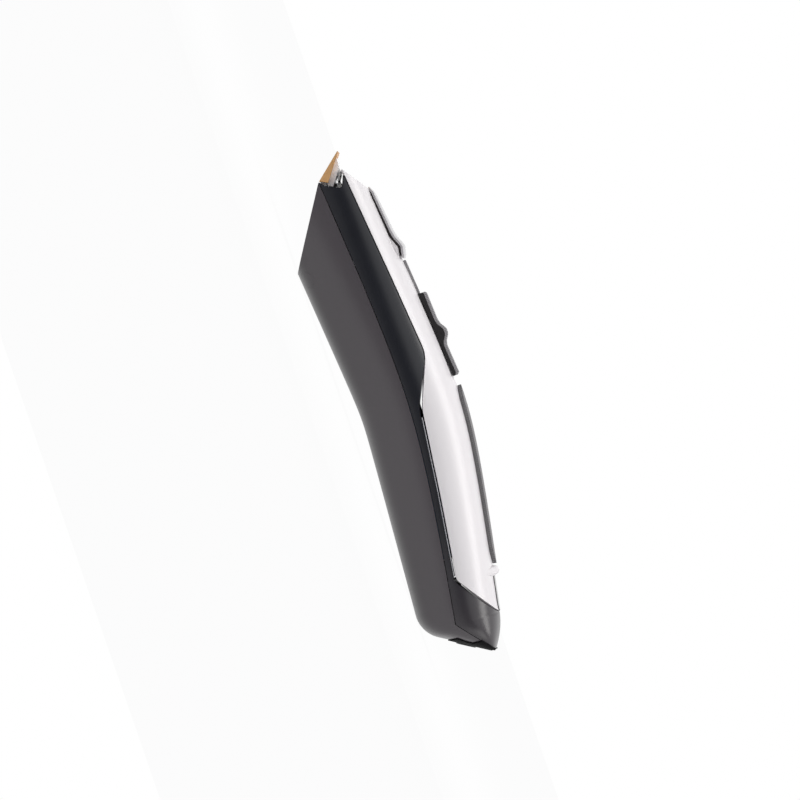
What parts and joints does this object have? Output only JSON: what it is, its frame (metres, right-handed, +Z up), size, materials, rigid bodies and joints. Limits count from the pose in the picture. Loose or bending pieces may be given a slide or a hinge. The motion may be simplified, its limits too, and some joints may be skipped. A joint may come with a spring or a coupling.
{
  "type": "cordless hair clipper",
  "caption": "Cordless hair clipper with a gold steel and white ceramic blade set, bent dark and white housing, thumb slide switch and tail charging inlet.",
  "frame": {"origin": "on the floor under the middle of the part, which lies on its back", "axes": "+X from the blade to the tail, +Y across the width, +Z up out of the switch side"},
  "size_m": [0.1879, 0.0439, 0.0444],
  "materials": {
    "dark_shell": "satin soft-touch",
    "band": "satin",
    "white_cover": "gloss",
    "silver_plate": "satin metallic",
    "textured_grey": "fine texture",
    "black_plastic": "matte",
    "pale_plastic": "satin",
    "gold_steel": "gold-coloured coating",
    "ceramic": "polished ceramic",
    "bright_trim": "polished",
    "spring_steel": "plain",
    "screw_steel": "zinc plated",
    "motor_steel": "zinc plated",
    "bronze": "sintered",
    "magnet": "sintered ferrite",
    "rotor_steel": "laminated and wound",
    "damper_rubber": "matte",
    "cell_steel": "sleeved",
    "nickel_tab": "nickel plated",
    "board_green": "solder mask",
    "chip_black": "moulded",
    "smoked_window": "gloss smoked",
    "clear_pipe": "clear"
  },
  "bodies": {
    "housing": {"rear_shell": "dark_shell", "mid_frame": "band", "front_cover": "white_cover", "chrome_trim": "bright_trim", "front_plate": "silver_plate", "switch_track": "textured_grey", "grip_strip": "textured_grey", "indicator_window": "smoked_window", "light_pipe": "clear_pipe", "tail_pad": "black_plastic", "charging_socket": "black_plastic", "socket_contacts": "nickel_tab", "latch_spring": "spring_steel", "motor_can": "motor_steel", "motor_endcap": "black_plastic", "motor_bearings": "bronze", "motor_magnets": "magnet", "motor_dampers": "damper_rubber", "motor_bracket": "black_plastic", "battery_cell": "cell_steel", "battery_tabs": "nickel_tab", "circuit_board": "board_green", "board_components": "chip_black", "housing_screws": "screw_steel", "screw_plugs": "dark_shell"},
    "blade_unit": {"fixed_blade": "gold_steel", "blade_holder": "black_plastic", "blade_screws": "screw_steel", "blade_springs": "spring_steel"},
    "cutter": {"moving_blade": "ceramic", "cutter_carrier": "pale_plastic"},
    "power_switch": {"switch_slider": "textured_grey", "switch_carrier": "black_plastic", "switch_contact": "bronze"},
    "drive": {"motor_rotor": "rotor_steel", "drive_eccentric": "pale_plastic"}
  },
  "joints": [
    {"name": "blade_tilt", "type": "hinge", "parent": "housing", "child": "blade_unit", "pos_m": [-0.0858, 0, 0.0183], "axis": [0, -1, 0], "range_deg": [0, 25]},
    {"name": "cutter_slide", "type": "slide", "parent": "blade_unit", "child": "cutter", "axis": [0, 1, 0], "range_m": [-0.001, 0.001]},
    {"name": "switch_slide", "type": "slide", "parent": "housing", "child": "power_switch", "axis": [-0.9968, 0, -0.0805], "range_m": [0, 0.008]},
    {"name": "motor_spin", "type": "hinge", "parent": "housing", "child": "drive", "pos_m": [-0.07, 0, 0.022], "axis": [1, 0, 0], "continuous": true}
  ]
}
